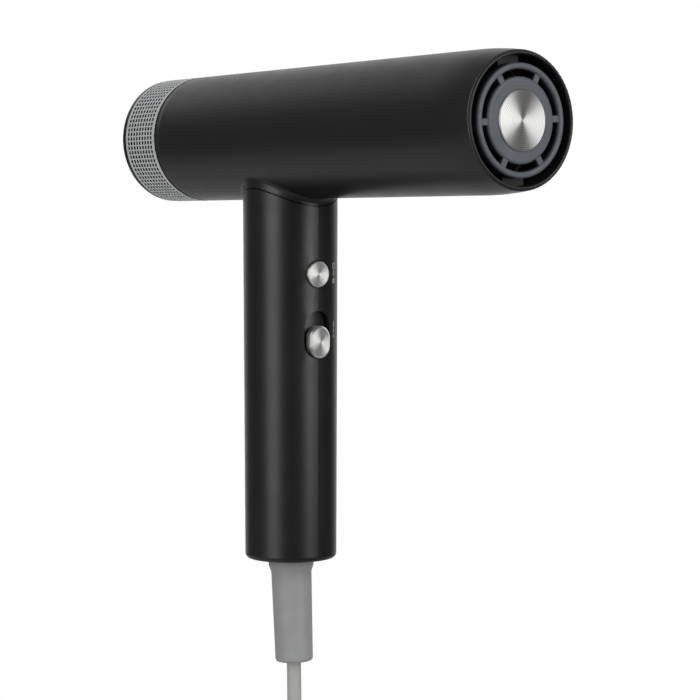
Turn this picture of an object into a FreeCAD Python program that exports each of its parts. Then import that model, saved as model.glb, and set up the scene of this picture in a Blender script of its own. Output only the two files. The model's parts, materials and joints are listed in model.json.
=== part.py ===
"""Hair dryer with a cylindrical barrel, a round handle and a mains lead.

Frame: +Z is up and the handle runs along Z.  +X is the way the air leaves, and the barrel
runs along X.  The origin is on the handle's axis, where a hand holds it.  Millimetres.

Most pieces are drawn about the point where the barrel's axis crosses the handle's axis, and
are then lifted by axis_height.  "depth" is always the distance below the barrel's axis.
"""
import FreeCAD, Part
import math
import os
import re
import Sketcher
from FreeCAD import Placement, Rotation, Vector

# ---------------------------------------------------------------- driving sizes

SIZES = {
    # barrel
    "axis_height": 105.0,          # barrel axis above the middle of the grip
    "barrel_radius": 28.2,
    "barrel_wall": 1.8,
    "barrel_front": 150.2,         # handle axis to the front lip
    "barrel_rear": 66.2,           # handle axis to the rear edge
    "front_taper_length": 20.0,
    "front_taper_drop": 1.3,
    "front_lip_round": 0.35,
    "rear_taper_length": 4.0,
    "rear_taper_drop": 0.4,
    "neck_drop": 3.0,              # collar below the barrel's surface
    "neck_fillet": 2.4,
    "seam_gap": 0.45,              # dark line between the collar and the handle
    "spigot_depth": 44.0,
    "spigot_wall": 2.4,
    "fit_gap": 0.1,                # between pieces that slide together once
    "moving_gap": 0.3,             # between pieces that move past each other
    "running_gap": 0.03,           # shaft in a bearing or guide, on the radius
    # air outlet
    "duct_start": 24.0,
    "duct_wall": 1.1,
    "duct_ahead": 0.6,             # duct beyond the barrel's lip
    "duct_round": 0.4,
    "ring_ahead": 0.3,
    "ring_depth": 7.0,
    "ring_gap": 3.3,               # slot between the duct and the grille's ring
    "ring_width": 2.4,
    "ring_round": 1.0,
    "spoke_length": 2.8,
    "spoke_width": 2.5,
    "spoke_depth": 3.4,
    "hub_depth": 8.0,
    "hub_wall": 1.6,
    "hub_round": 1.2,
    "hub_rim": 4.9,                # hub's rim around the disc
    "leg_width": 10.6,
    "leg_length": 7.8,
    "leg_overlap": 0.3,            # how far a leg runs into the ring
    "grille_turn": 3.5,            # degrees about the barrel's axis
    "disc_ahead": 0.6,
    "disc_thickness": 2.2,
    "disc_edge": 0.3,
    # heater
    "heater_start": 30.0,
    "heater_setback": 22.2,        # front end of the heater behind the barrel's lip
    "sleeve_wall": 0.5,
    "mica_thickness": 0.8,
    "mica_notch": 3.5,             # depth of the long notch that the heating wire lies in
    "mica_tab": 6.0,
    "heating_wire_radius": 1.0,
    "heating_pitch": 7.0,
    # motor and fan
    "motor_rear": 52.0,            # behind the handle axis
    "motor_front": 12.0,
    "mount_thickness": 5.3,
    "motor_wall": 1.5,
    "can_radius": 11.5,
    "can_wall": 1.0,
    "can_rear": 34.0,
    "can_front": 13.0,
    "vane_thickness": 1.2,
    "vane_rear": 31.0,
    "vane_front": 16.0,
    "bearing_radius": 4.0,
    "bearing_width": 3.0,
    "shaft_radius": 1.5,
    "magnet_radius": 4.9,
    "magnet_rear": 29.0,
    "magnet_front": 19.0,
    "air_gap": 0.4,
    "tooth_width": 2.6,
    "tooth_end": 9.0,
    "winding_width": 4.8,
    "winding_overhang": 1.3,
    "hub_nose": 49.5,
    "hub_nose_radius": 4.0,
    "hub_back": 36.0,
    "hub_back_radius": 11.2,
    "blade_tip_gap": 0.4,
    "blade_thickness": 1.0,
    "blade_angle": 40.0,
    "mount_width": 6.0,
    # air intake
    "cover_gap": 0.15,             # hairline between the barrel and the filter cover
    "band_length": 24.0,
    "band_wall": 0.8,
    "cap_thickness": 3.45,
    "cap_drop": 0.1,
    "cap_round": 1.0,
    "cap_spigot_wall": 2.3,
    "cap_spigot_length": 2.4,
    "mesh_wall": 0.4,
    "cage_ring_length": 10.0,
    "cage_ring_wall": 3.3,
    "cage_bar_depth": 1.8,
    "cage_bar_width": 2.4,
    "cage_rear": 88.6,
    "cage_disc": 2.0,
    # handle
    "handle_top_radius": 20.65,
    "handle_end_radius": 20.0,
    "handle_end": 185.0,           # depth of the handle's lower end
    "handle_wall": 1.8,
    "handle_round": 2.2,
    "handle_lip": 2.3,             # thicker wall around the base cap
    "chassis_top": 44.4,
    "chassis_wall": 1.7,
    "board_back": 4.0,
    "board_thickness": 1.6,
    "board_margin": 1.4,
    "board_top": 47.0,
    "board_bottom": 152.0,
    "bracket_top": 53.0,
    "bracket_bottom": 106.0,
    "bracket_half_width": 11.5,
    "bracket_back": 12.0,
    "bracket_thickness": 1.5,
    # push button
    "button_depth": 60.5,
    "button_radius": 5.65,
    "button_gap": 0.45,
    "button_front": 20.95,
    "button_cap_length": 2.2,
    "button_edge": 0.5,
    "button_travel": 0.7,
    "button_flange_radius": 7.0,
    "button_flange_front": 16.2,
    "button_flange_thickness": 1.2,
    "button_stem_radius": 2.5,
    "tact_size": 6.0,
    "tact_height": 3.5,
    "tact_nub_radius": 1.7,
    "tact_nub_length": 2.1,
    "tact_nub_tip": 10.4,
    # slide switch
    "slot_depth": 86.6,            # depth of the slot's middle
    "slot_width": 13.1,
    "slot_length": 20.6,
    "knob_width": 10.6,
    "knob_length": 13.9,
    "knob_end_gap": 0.35,
    "knob_front": 22.4,
    "knob_height": 3.8,
    "knob_bevel": 0.9,
    "stem_width": 6.0,
    "stem_length": 9.0,
    "shutter_wall": 1.3,
    "shutter_half_width": 7.6,
    "shutter_margin": 0.7,
    "peg_size": 3.6,
    "lever_tip": 11.4,
    "lever_length": 3.6,
    "lever_width": 2.4,
    "lever_height": 3.0,
    "switch_height": 4.0,
    "switch_half_width": 3.6,
    # lower end of the handle
    "capacitor_radius": 6.0,
    "capacitor_length": 22.0,
    "capacitor_top": 112.0,
    "clamp_rise": 13.5,            # top of the clamp above the base cap
    "clamp_height": 8.0,
    "clamp_split": 0.2,
    "clamp_bar": 5.0,
    "clamp_half_width": 12.5,
    "clamp_screw_spacing": 17.0,
    "screw_radius": 1.3,
    "screw_hole_gap": 0.1,
    "screw_head_radius": 2.6,
    "screw_head_height": 1.8,
    "screw_length": 11.0,
    "base_recess": 0.5,
    "base_thickness": 4.0,
    "base_hole_gap": 0.4,
    "base_screw_spacing": 27.0,
    "base_screw_back": 3.0,
    "boss_radius": 3.2,
    "boss_length": 13.0,
    # strain relief and lead
    "relief_lean": 3.0,            # degrees
    "relief_flange_radius": 10.4,
    "relief_flange_thickness": 2.8,
    "relief_neck_radius": 8.5,
    "relief_collar_radius": 9.9,
    "relief_top_radius": 8.85,
    "relief_end_radius": 8.25,
    "relief_collar_length": 6.0,
    "relief_start": 0.8,
    "relief_length": 46.3,
    "relief_round": 1.5,
    "cord_radius": 3.175,
    "coil_radius": 38.0,
    "coil_height": -250.0,
    "coil_bundle": 10.7,
    "tie_wall": 1.2,
    "tie_width": 14.0,
    # plug
    "plug_half_width": 18.0,
    "plug_half_depth": 13.0,
    "plug_face_length": 13.0,
    "plug_length": 40.0,
    "plug_neck_radius": 5.5,
    "pin_radius": 2.4,
    "pin_length": 19.0,
    "pin_spacing": 19.0,
    "pin_seat": 8.0,
    "pin_root_radius": 1.8,        # thinner part held in the plug
    "pin_relief": 0.4,             # thin part left bare at the plug's face
    "pin_tip": 1.5,
}

# Values that follow from the driving sizes, in the sheet's own words.
DERIVED = {
    "shell_bore": "barrel_radius - barrel_wall",
    "collar_radius": "barrel_radius + neck_drop",
    "handle_bore": "handle_end_radius - handle_wall",
    "lip_bore": "handle_end_radius - handle_lip",
    "spigot_radius": "handle_bore - fit_gap",
    "neck_bore": "spigot_radius - spigot_wall",
    "duct_outer": "shell_bore - fit_gap",
    "duct_inner": "duct_outer - duct_wall",
    "duct_front": "barrel_front + duct_ahead",
    "ring_front": "barrel_front + ring_ahead",
    "ring_outer": "duct_inner - ring_gap",
    "ring_inner": "ring_outer - ring_width",
    "hub_front": "barrel_front",
    "hub_radius": "ring_inner - spoke_length",
    "disc_front": "barrel_front + disc_ahead",
    "disc_radius": "hub_radius - hub_rim",
    "leg_front": "ring_front - ring_depth + leg_overlap",
    "leg_back": "leg_front - leg_length",
    "sleeve_outer": "duct_inner - fit_gap",
    "sleeve_inner": "sleeve_outer - sleeve_wall",
    "heater_end": "barrel_front - heater_setback",
    "mica_radius": "sleeve_inner - fit_gap",
    "mica_step": "mica_radius - mica_notch",
    "motor_radius": "shell_bore - fit_gap - mount_thickness",
    "motor_bore": "motor_radius - motor_wall",
    "can_bore": "can_radius - can_wall",
    "tooth_start": "magnet_radius + air_gap",
    "band_front": "-barrel_rear - cover_gap",
    "band_rear": "band_front - band_length",
    "band_bore": "barrel_radius - band_wall",
    "cap_spigot_outer": "band_bore - fit_gap",
    "cap_spigot_inner": "cap_spigot_outer - cap_spigot_wall",
    "mesh_outer": "cap_spigot_inner - fit_gap",
    "cage_bar_outer": "mesh_outer - mesh_wall - moving_gap",
    "chassis_radius": "handle_bore - fit_gap",
    "board_front": "board_back + board_thickness",
    "board_half_width": "handle_bore - board_margin",
    "knob_rest": "slot_depth + slot_length / 2 - knob_end_gap - knob_length / 2",
    "knob_travel": "slot_length - knob_length - 2 * knob_end_gap",
    "knob_back": "knob_front - knob_height",
    "shutter_outer": "handle_bore - moving_gap",
    "shutter_inner": "shutter_outer - shutter_wall",
    "shutter_top": "slot_depth - slot_length / 2 - shutter_margin",
    "shutter_bottom": "slot_depth + slot_length / 2 + knob_travel + shutter_margin",
    "base_bottom": "handle_end - base_recess",
    "base_top": "base_bottom - base_thickness",
    "clamp_top": "base_top - clamp_rise",
    "clamp_bottom": "clamp_top + clamp_height",
    "cord_bore": "cord_radius + fit_gap",
    "relief_bore": "cord_radius + moving_gap",
    "screw_hole": "screw_radius + screw_hole_gap",
}

SPOKES = 6
LEGS = 4
MICA_ARMS = 6
STATOR_TEETH = 6
MOTOR_VANES = 7
BLADES = 9
CAGE_BARS = 8

# The lead, from the clamp in the handle to the coil, and from the coil to the plug.
# Each point is (x, y, z) in the part's own frame.
LEAD_ROUTE = [
    (0.0, 0.0, -57.0),
    (0.0, 0.0, -79.5),
    (2.4, 0.0, -125.4),
    (2.4, 0.0, -166.0),
    (7.0, -6.0, -189.0),
    (20.0, -12.5, -210.0),
    (35.0, -13.5, -226.0),
    (43.0, -9.5, -240.5),
]
TAIL_ROUTE = [
    (49.0, -1.5, -260.0),
    (49.5, 0.0, -272.0),
    (49.5, 0.0, -284.0),
]

doc = FreeCAD.newDocument("HairDryer")
sheet = doc.addObject("Spreadsheet::Sheet", "Sizes")
for row, (alias, number) in enumerate(SIZES.items(), start=1):
    sheet.set(f"A{row}", alias)
    sheet.set(f"B{row}", str(number))
    sheet.setAlias(f"B{row}", alias)
doc.recompute()

ALONG_X = Rotation(Vector(0, 1, 0), 90)
UPRIGHT = Rotation()
WORD = re.compile(r"[A-Za-z_]\w*")
SUBPARTS = []

# ---------------------------------------------------------------- binding sizes


def expand(expression):
    """Write an expression with the sheet's cells in place of the short words."""
    def spell_out(match):
        word = match.group(0)
        if word in DERIVED:
            return f"({expand(DERIVED[word])})"
        if word in SIZES:
            return f"Sizes.{word}"
        return word
    return WORD.sub(spell_out, str(expression))


def value(expression):
    """The number that an expression comes to now."""
    return float(sheet.evalExpression(expand(expression)))


def bind(thing, **sizes):
    for size_name, expression in sizes.items():
        thing.setExpression(size_name, expand(expression))


def place(thing, x="0", y="0", z="0", turn=UPRIGHT, lifted=True):
    """Put a thing at a point given from the crossing of the two axes."""
    height = f"axis_height + {z}" if lifted else z
    thing.Placement = Placement(Vector(), turn)
    for letter, expression in zip("xyz", (x, y, height)):
        thing.setExpression(f"Placement.Base.{letter}", expand(expression))


def keep(label, thing):
    """Make a thing one of the dryer's pieces."""
    thing.Label = label
    SUBPARTS.append(thing)
    return thing


# ---------------------------------------------------------------- Part solids


def cylinder(name, radius, length, x="0", y="0", z="0", turn=UPRIGHT):
    thing = doc.addObject("Part::Cylinder", name)
    bind(thing, Radius=radius, Height=length)
    place(thing, x, y, z, turn)
    return thing


def rod(name, radius, start, end, y="0", z="0"):
    """A cylinder along X from start to end."""
    return cylinder(name, radius, f"({end}) - ({start})", start, y, z, ALONG_X)


def box(name, x_low, x_high, y_low, y_high, z_low, z_high):
    thing = doc.addObject("Part::Box", name)
    bind(thing, Length=f"({x_high}) - ({x_low})",
         Width=f"({y_high}) - ({y_low})",
         Height=f"({z_high}) - ({z_low})")
    place(thing, x_low, y_low, z_low)
    return thing


def radial_plate(name, angle, rear, front, inner, outer, width):
    """A plate from one radius to another about the barrel's axis, centred on an angle."""
    thing = doc.addObject("Part::Box", name)
    bind(thing, Length=f"({front}) - ({rear})", Width=width,
         Height=f"({outer}) - ({inner})")
    sine = math.sin(math.radians(angle))
    cosine = math.cos(math.radians(angle))
    across = f"-({width}) / 2 * {cosine:.9f} - ({inner}) * {sine:.9f}"
    up = f"-({width}) / 2 * {sine:.9f} + ({inner}) * {cosine:.9f}"
    place(thing, rear, across, up, Rotation(Vector(1, 0, 0), angle))
    return thing


def join(name, pieces):
    thing = doc.addObject("Part::MultiFuse", name)
    thing.Shapes = pieces
    thing.Refine = True
    return thing


def overlap(name, pieces):
    thing = doc.addObject("Part::MultiCommon", name)
    thing.Shapes = pieces
    return thing


def cut(name, base, tool):
    thing = doc.addObject("Part::Cut", name)
    thing.Base = base
    thing.Tool = tool
    return thing


def group(name, pieces):
    thing = doc.addObject("Part::Compound", name)
    thing.Links = pieces
    return thing


def tube(name, outer, inner, start, end):
    """A round tube along X."""
    wall = rod(f"{name}_outside", outer, start, end)
    hollow = rod(f"{name}_inside", inner, f"({start}) - 1", f"({end}) + 1")
    return cut(name, wall, hollow)


# ---------------------------------------------------------------- PartDesign solids


def new_body(name, x="0", z="0", turn=UPRIGHT):
    body = doc.addObject("PartDesign::Body", name)
    place(body, x, "0", z, turn)
    return body


def new_sketch(body, name, role, offset="0"):
    """A sketch on one of the body's own planes, moved along that plane's normal."""
    sketch = body.newObject("Sketcher::SketchObject", name)
    planes = [item for item in body.Origin.OriginFeatures if item.Role == role]
    sketch.AttachmentSupport = [(planes[0], "")]
    sketch.MapMode = "FlatFace"
    sketch.setExpression("AttachmentOffset.Base.z", expand(offset))
    return sketch


def pin_point(sketch, geometry, position, across, up):
    """Fix a point of the sketch at two bound distances from the sketch's origin."""
    for kind, expression in (("DistanceX", across), ("DistanceY", up)):
        number = value(expression)
        index = sketch.addConstraint(
            Sketcher.Constraint(kind, -1, 1, geometry, position, number))
        sketch.setExpression(f"Constraints[{index}]", expand(expression))


def fix_radius(sketch, geometry, radius):
    index = sketch.addConstraint(Sketcher.Constraint("Radius", geometry, value(radius)))
    sketch.setExpression(f"Constraints[{index}]", expand(radius))


def draw_circle(sketch, radius, across="0", up="0"):
    centre = Vector(value(across), value(up), 0)
    geometry = sketch.addGeometry(Part.Circle(centre, Vector(0, 0, 1), value(radius)))
    pin_point(sketch, geometry, 3, across, up)
    fix_radius(sketch, geometry, radius)


def arc_between(start, end, radius, side):
    """An arc that bulges to the left (side 1) or the right (side -1) of its chord."""
    chord = end - start
    half = chord.Length / 2
    rise = radius - math.sqrt(max(radius * radius - half * half, 0.0))
    left = Vector(-chord.y, chord.x, 0).normalize()
    middle = (start + end) * 0.5 + left * (rise * side)
    return Part.Arc(start, middle, end)


def draw_outline(sketch, corners):
    """A closed outline. A corner is (across, up), or (across, up, radius, side) where an
    arc of that radius leads to it from the corner before."""
    points = [Vector(value(corner[0]), value(corner[1]), 0) for corner in corners]
    ends = []
    for index, corner in enumerate(corners):
        start, end = points[index - 1], points[index]
        if len(corner) == 2:
            geometry = sketch.addGeometry(Part.LineSegment(start, end))
            ends.append((geometry, 1, 2))
            continue
        arc = arc_between(start, end, value(corner[2]), corner[3])
        geometry = sketch.addGeometry(arc)
        forward = sketch.getPoint(geometry, 1).distanceToPoint(start) < 1e-6
        ends.append((geometry, 1, 2) if forward else (geometry, 2, 1))
        fix_radius(sketch, geometry, corner[2])
    for index, corner in enumerate(corners):
        geometry, _, last = ends[index]
        following, first, _ = ends[(index + 1) % len(corners)]
        sketch.addConstraint(Sketcher.Constraint("Coincident", geometry, last, following, first))
        pin_point(sketch, geometry, last, corner[0], corner[1])


def draw_stadium(sketch, width, length, up="0"):
    """A slot shape with round ends, its long side upright and its middle at "up"."""
    half = value(width) / 2
    reach = value(length) / 2 - half
    middle = value(up)
    top, bottom = Vector(0, middle + reach, 0), Vector(0, middle - reach, 0)
    normal = Vector(0, 0, 1)
    upper = sketch.addGeometry(Part.ArcOfCircle(Part.Circle(top, normal, half), 0, math.pi))
    lower = sketch.addGeometry(
        Part.ArcOfCircle(Part.Circle(bottom, normal, half), math.pi, 2 * math.pi))
    left = sketch.addGeometry(
        Part.LineSegment(top + Vector(-half, 0, 0), bottom + Vector(-half, 0, 0)))
    right = sketch.addGeometry(
        Part.LineSegment(bottom + Vector(half, 0, 0), top + Vector(half, 0, 0)))
    for arc, arc_end, line, line_end in (
            (upper, 2, left, 1), (left, 2, lower, 1), (lower, 2, right, 1), (right, 2, upper, 1)):
        sketch.addConstraint(Sketcher.Constraint("Tangent", arc, arc_end, line, line_end))
    sketch.addConstraint(Sketcher.Constraint("Equal", upper, lower))
    fix_radius(sketch, upper, f"{width} / 2")
    pin_point(sketch, upper, 3, "0", f"{up} + {length} / 2 - {width} / 2")
    pin_point(sketch, lower, 3, "0", f"{up} - {length} / 2 + {width} / 2")


def revolve(body, sketch, axis):
    feature = body.newObject("PartDesign::Revolution", f"{sketch.Name}_turned")
    feature.Profile = sketch
    feature.ReferenceAxis = (sketch, [axis])
    feature.Angle = 360
    return feature


def pad(body, sketch, length, reverse=False, symmetric=False):
    feature = body.newObject("PartDesign::Pad", f"{sketch.Name}_pad")
    feature.Profile = sketch
    feature.Reversed = reverse
    if symmetric:
        feature.SideType = "Symmetric"
    bind(feature, Length=length)
    return feature


def pocket(body, sketch, length=None, reverse=False):
    """Cut a sketch to a length, or right through on both sides when none is given."""
    before = solid_volume(body)
    feature = body.newObject("PartDesign::Pocket", f"{sketch.Name}_cut")
    feature.Profile = sketch
    feature.Reversed = reverse
    if length is None:
        feature.Type = "ThroughAll"
        feature.SideType = "Symmetric"
    else:
        bind(feature, Length=length)
    if solid_volume(body) > before - 1e-3:
        raise RuntimeError(f"{feature.Name} cuts nothing")
    return feature


def solid_volume(body):
    doc.recompute()
    return body.Shape.Volume


def polar(body, feature, sketch, count, axis_role="X_Axis"):
    pattern = body.newObject("PartDesign::PolarPattern", f"{feature.Name}_around")
    axes = [item for item in body.Origin.OriginFeatures if item.Role == axis_role]
    pattern.Originals = [feature]
    pattern.Axis = (axes[0], [""])
    pattern.Angle = 360
    pattern.Occurrences = count
    body.Tip = pattern
    return pattern


def soften(body, kind, size_name, size, wanted):
    """Fillet or chamfer the edges of the body for which wanted(edge) is true."""
    doc.recompute()
    base = body.Tip
    names = [f"Edge{number}" for number, edge in enumerate(base.Shape.Edges, start=1)
             if wanted(edge)]
    if not names:
        raise RuntimeError(f"{body.Name} has no edge to soften")
    feature = body.newObject(f"PartDesign::{kind}", f"{body.Name}_{kind}")
    feature.Base = (base, names)
    bind(feature, **{size_name: size})
    return feature


def edge_middle(edge):
    return edge.valueAt((edge.FirstParameter + edge.LastParameter) / 2)


# ---------------------------------------------------------------- tubes along a route


def rounded_path(points):
    """Straight runs joined by tangent arcs, each as large as its two runs allow."""
    edges = []
    radii = []
    here = points[0]
    for before, corner, after in zip(points, points[1:], points[2:]):
        towards = (corner - before).normalize()
        away = (after - corner).normalize()
        half_turn = towards.getAngle(away) / 2
        shorter = min((corner - before).Length, (after - corner).Length)
        trim = 0.45 * shorter
        radius = trim / math.tan(half_turn)
        start = corner - towards * trim
        end = corner + away * trim
        inward = (away - towards).normalize()
        middle = corner + inward * (radius / math.cos(half_turn) - radius)
        edges.append(Part.LineSegment(here, start).toShape())
        edges.append(Part.Arc(start, middle, end).toShape())
        radii.append(radius)
        here = end
    edges.append(Part.LineSegment(here, points[-1]).toShape())
    return Part.Wire(edges), radii


def swept_tube(route, radius, name):
    """A round solid along a route, with its bend radii and volume written out."""
    points = [Vector(*point) for point in route]
    path, radii = rounded_path(points)
    along = (points[1] - points[0]).normalize()
    ring = Part.Wire([Part.Circle(points[0], along, radius).toShape()])
    solid = path.makePipeShell([ring], True, True)
    expected = math.pi * radius * radius * path.Length
    bends = ", ".join(f"{bend:.1f}" for bend in radii)
    print(f"{name}: length {path.Length:.1f}, volume {solid.Volume / expected:.4f} of "
          f"section x length, bend radii {bends}")
    return solid


def shaped(name, solids, lifted):
    """A feature whose shape is worked out here from the sheet's sizes."""
    feature = doc.addObject("Part::Feature", name)
    feature.Shape = solids[0] if len(solids) == 1 else Part.makeCompound(solids)
    height = value("axis_height") if lifted else 0.0
    feature.Placement = Placement(Vector(0, 0, height), Rotation())
    return keep(name, feature)


# ---------------------------------------------------------------- barrel and outlet


def make_barrel_shell():
    body = new_body("barrel_shell")
    taper_radius = ("((front_taper_length - front_lip_round)^2 + front_taper_drop^2)"
                    " / (2 * front_taper_drop)")
    outside = new_sketch(body, "barrel_outline", "XZ_Plane")
    draw_outline(outside, [
        ("-barrel_rear", "0"),
        ("-barrel_rear", "barrel_radius - rear_taper_drop"),
        ("rear_taper_length - barrel_rear", "barrel_radius"),
        ("barrel_front - front_taper_length", "barrel_radius"),
        ("barrel_front - front_lip_round", "barrel_radius - front_taper_drop", taper_radius, 1),
        ("barrel_front", "barrel_radius - front_taper_drop - front_lip_round",
         "front_lip_round", 1),
        ("barrel_front", "0"),
    ])
    revolve(body, outside, "H_Axis")
    neck = new_sketch(body, "neck_circle", "XY_Plane")
    draw_circle(neck, "handle_top_radius")
    pad(body, neck, "collar_radius + 1", reverse=True)
    saddle = new_sketch(body, "collar_saddle", "YZ_Plane")
    edge_height = "-sqrt(collar_radius^2 - (handle_top_radius + 2)^2)"
    draw_outline(saddle, [
        ("-handle_top_radius - 2", "-collar_radius - 3"),
        ("handle_top_radius + 2", "-collar_radius - 3"),
        ("handle_top_radius + 2", edge_height),
        ("-handle_top_radius - 2", edge_height, "collar_radius", 1),
    ])
    pocket(body, saddle)
    barrel_radius = value("barrel_radius")
    neck_radius = value("handle_top_radius")

    def on_junction(edge):
        point = edge_middle(edge)
        on_barrel = abs(math.hypot(point.y, point.z) - barrel_radius) < 0.01
        on_neck = abs(math.hypot(point.x, point.y) - neck_radius) < 0.01
        return on_barrel and on_neck and point.z < 0

    soften(body, "Fillet", "Radius", "neck_fillet", on_junction)
    spigot = new_sketch(body, "spigot_circle", "XY_Plane")
    draw_circle(spigot, "spigot_radius")
    pad(body, spigot, "spigot_depth", reverse=True)
    passage = new_sketch(body, "neck_passage", "XY_Plane")
    draw_circle(passage, "neck_bore")
    pocket(body, passage, "spigot_depth + 1")
    bore = new_sketch(body, "barrel_bore", "YZ_Plane")
    draw_circle(bore, "shell_bore")
    pocket(body, bore)
    keep("barrel_shell", body)


def make_outlet_duct():
    body = new_body("outlet_duct")
    wall = new_sketch(body, "duct_section", "XZ_Plane")
    draw_outline(wall, [
        ("duct_start", "duct_inner"),
        ("duct_start", "duct_outer"),
        ("duct_front - duct_round", "duct_outer"),
        ("duct_front", "duct_outer - duct_round", "duct_round", 1),
        ("duct_front", "duct_inner + duct_round"),
        ("duct_front - duct_round", "duct_inner", "duct_round", 1),
    ])
    revolve(body, wall, "H_Axis")
    keep("outlet_duct", body)


def make_outlet_grille():
    """A cup-shaped hub, spokes and a rounded ring, held in the duct by legs behind it."""
    rolled = Rotation(Vector(1, 0, 0), value("grille_turn"))
    body = new_body("outlet_grille", turn=rolled)
    hub = new_sketch(body, "hub_section", "XZ_Plane")
    seat = "disc_front - disc_thickness"
    draw_outline(hub, [
        (f"{seat} - hub_wall", "0"),
        (f"{seat} - hub_wall", "hub_radius - hub_wall"),
        ("hub_front - hub_depth", "hub_radius - hub_wall"),
        ("hub_front - hub_depth", "hub_radius"),
        ("hub_front - hub_round", "hub_radius"),
        ("hub_front", "hub_radius - hub_round", "hub_round", 1),
        ("hub_front", "disc_radius + fit_gap"),
        (seat, "disc_radius + fit_gap"),
        (seat, "0"),
    ])
    revolve(body, hub, "H_Axis")
    spoke_front = "hub_front - 0.5"
    spoke = new_sketch(body, "spoke_section", "YZ_Plane", f"{spoke_front} - spoke_depth")
    draw_outline(spoke, [
        ("hub_radius - 0.5", "-spoke_width / 2"),
        ("ring_inner + 0.8", "-spoke_width / 2"),
        ("ring_inner + 0.8", "spoke_width / 2"),
        ("hub_radius - 0.5", "spoke_width / 2"),
    ])
    polar(body, pad(body, spoke, "spoke_depth"), spoke, SPOKES)
    ring = new_sketch(body, "ring_section", "XZ_Plane")
    draw_outline(ring, [
        ("ring_front - ring_depth", "ring_inner"),
        ("ring_front - ring_depth", "ring_outer"),
        ("ring_front - ring_round", "ring_outer"),
        ("ring_front", "ring_outer - ring_round", "ring_round", 1),
        ("ring_front", "ring_inner + ring_round"),
        ("ring_front - ring_round", "ring_inner", "ring_round", 1),
    ])
    revolve(body, ring, "H_Axis")
    leg = new_sketch(body, "leg_section", "YZ_Plane", "leg_back")
    leg_end = "duct_inner - fit_gap / 2"
    leg_side = f"sqrt(({leg_end})^2 - leg_width^2 / 4)"
    draw_outline(leg, [
        ("-leg_width / 2", "ring_inner + 0.4"),
        ("leg_width / 2", "ring_inner + 0.4"),
        ("leg_width / 2", leg_side),
        ("-leg_width / 2", leg_side, leg_end, -1),
    ])
    polar(body, pad(body, leg, "leg_front - leg_back"), leg, LEGS)
    keep("outlet_grille", body)


def make_outlet_disc():
    body = new_body("outlet_disc")
    section = new_sketch(body, "disc_section", "XZ_Plane")
    draw_outline(section, [
        ("disc_front - disc_thickness", "0"),
        ("disc_front - disc_thickness", "disc_radius"),
        ("disc_front - disc_edge", "disc_radius"),
        ("disc_front", "disc_radius - disc_edge"),
        ("disc_front", "0"),
    ])
    revolve(body, section, "H_Axis")
    keep("outlet_disc", body)


# ---------------------------------------------------------------- heater


def make_heater_sleeve():
    keep("heater_sleeve", tube("heater_sleeve", "sleeve_outer", "sleeve_inner",
                               "heater_start", "heater_end"))


def make_heater_frame():
    """Mica plates crossed into a star, with full-width tabs at both ends."""
    body = new_body("heater_frame")
    arm = new_sketch(body, "mica_arm", "XZ_Plane")
    draw_outline(arm, [
        ("heater_start", "0"),
        ("heater_start", "mica_radius"),
        ("heater_start + mica_tab", "mica_radius"),
        ("heater_start + mica_tab", "mica_step"),
        ("heater_end - mica_tab", "mica_step"),
        ("heater_end - mica_tab", "mica_radius"),
        ("heater_end", "mica_radius"),
        ("heater_end", "0"),
    ])
    polar(body, pad(body, arm, "mica_thickness", symmetric=True), arm, MICA_ARMS)
    keep("heater_frame", body)


def make_heater_wire():
    """The heating wire runs straight from one mica arm's tip to the next."""
    wire_radius = value("heating_wire_radius")
    half_turn = math.pi / MICA_ARMS
    clearance = value("mica_thickness") / 2 * math.tan(half_turn) + 0.05
    reach = value("mica_step") + wire_radius / math.cos(half_turn) + clearance
    start = value("heater_start + mica_tab + 3")
    length = value("heater_end - heater_start - 2 * mica_tab - 6")
    pitch = value("heating_pitch")
    corners = int(length / pitch * MICA_ARMS)
    points = []
    for corner in range(corners + 1):
        turn = 2 * math.pi * corner / MICA_ARMS
        points.append(Vector(start + pitch * corner / MICA_ARMS,
                             -reach * math.sin(turn), reach * math.cos(turn)))
    along = (points[1] - points[0]).normalize()
    ring = Part.Wire([Part.Circle(points[0], along, wire_radius).toShape()])
    path = Part.makePolygon(points)
    right_corners = 1
    coil = path.makePipeShell([ring], True, False, right_corners)
    shaped("heater_wire", [coil], lifted=True)


def make_thermal_guards():
    """A bimetal cut-out and a one-shot fuse, both lying on the mica plate."""
    face = "mica_thickness / 2"
    middle = "10.5"
    body = box("cutout_case", "62", "73", face, f"{face} + 3.2",
               f"{middle} - 3.5", f"{middle} + 3.5")
    dome = cylinder("cutout_dome", "2.6", "1.0", "67.5", f"{face} + 3.0", middle,
                    Rotation(Vector(1, 0, 0), -90))
    keep("thermal_cutout", join("thermal_cutout", [body, dome]))
    fuse = rod("fuse_body", "1.6", "85", "94", f"{face} + 1.6", middle)
    lead_rear = rod("fuse_rear_lead", "0.5", "80", "85.5", f"{face} + 1.6", middle)
    lead_front = rod("fuse_front_lead", "0.5", "93.5", "99", f"{face} + 1.6", middle)
    keep("thermal_fuse", join("thermal_fuse", [fuse, lead_rear, lead_front]))


# ---------------------------------------------------------------- motor and fan


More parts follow.
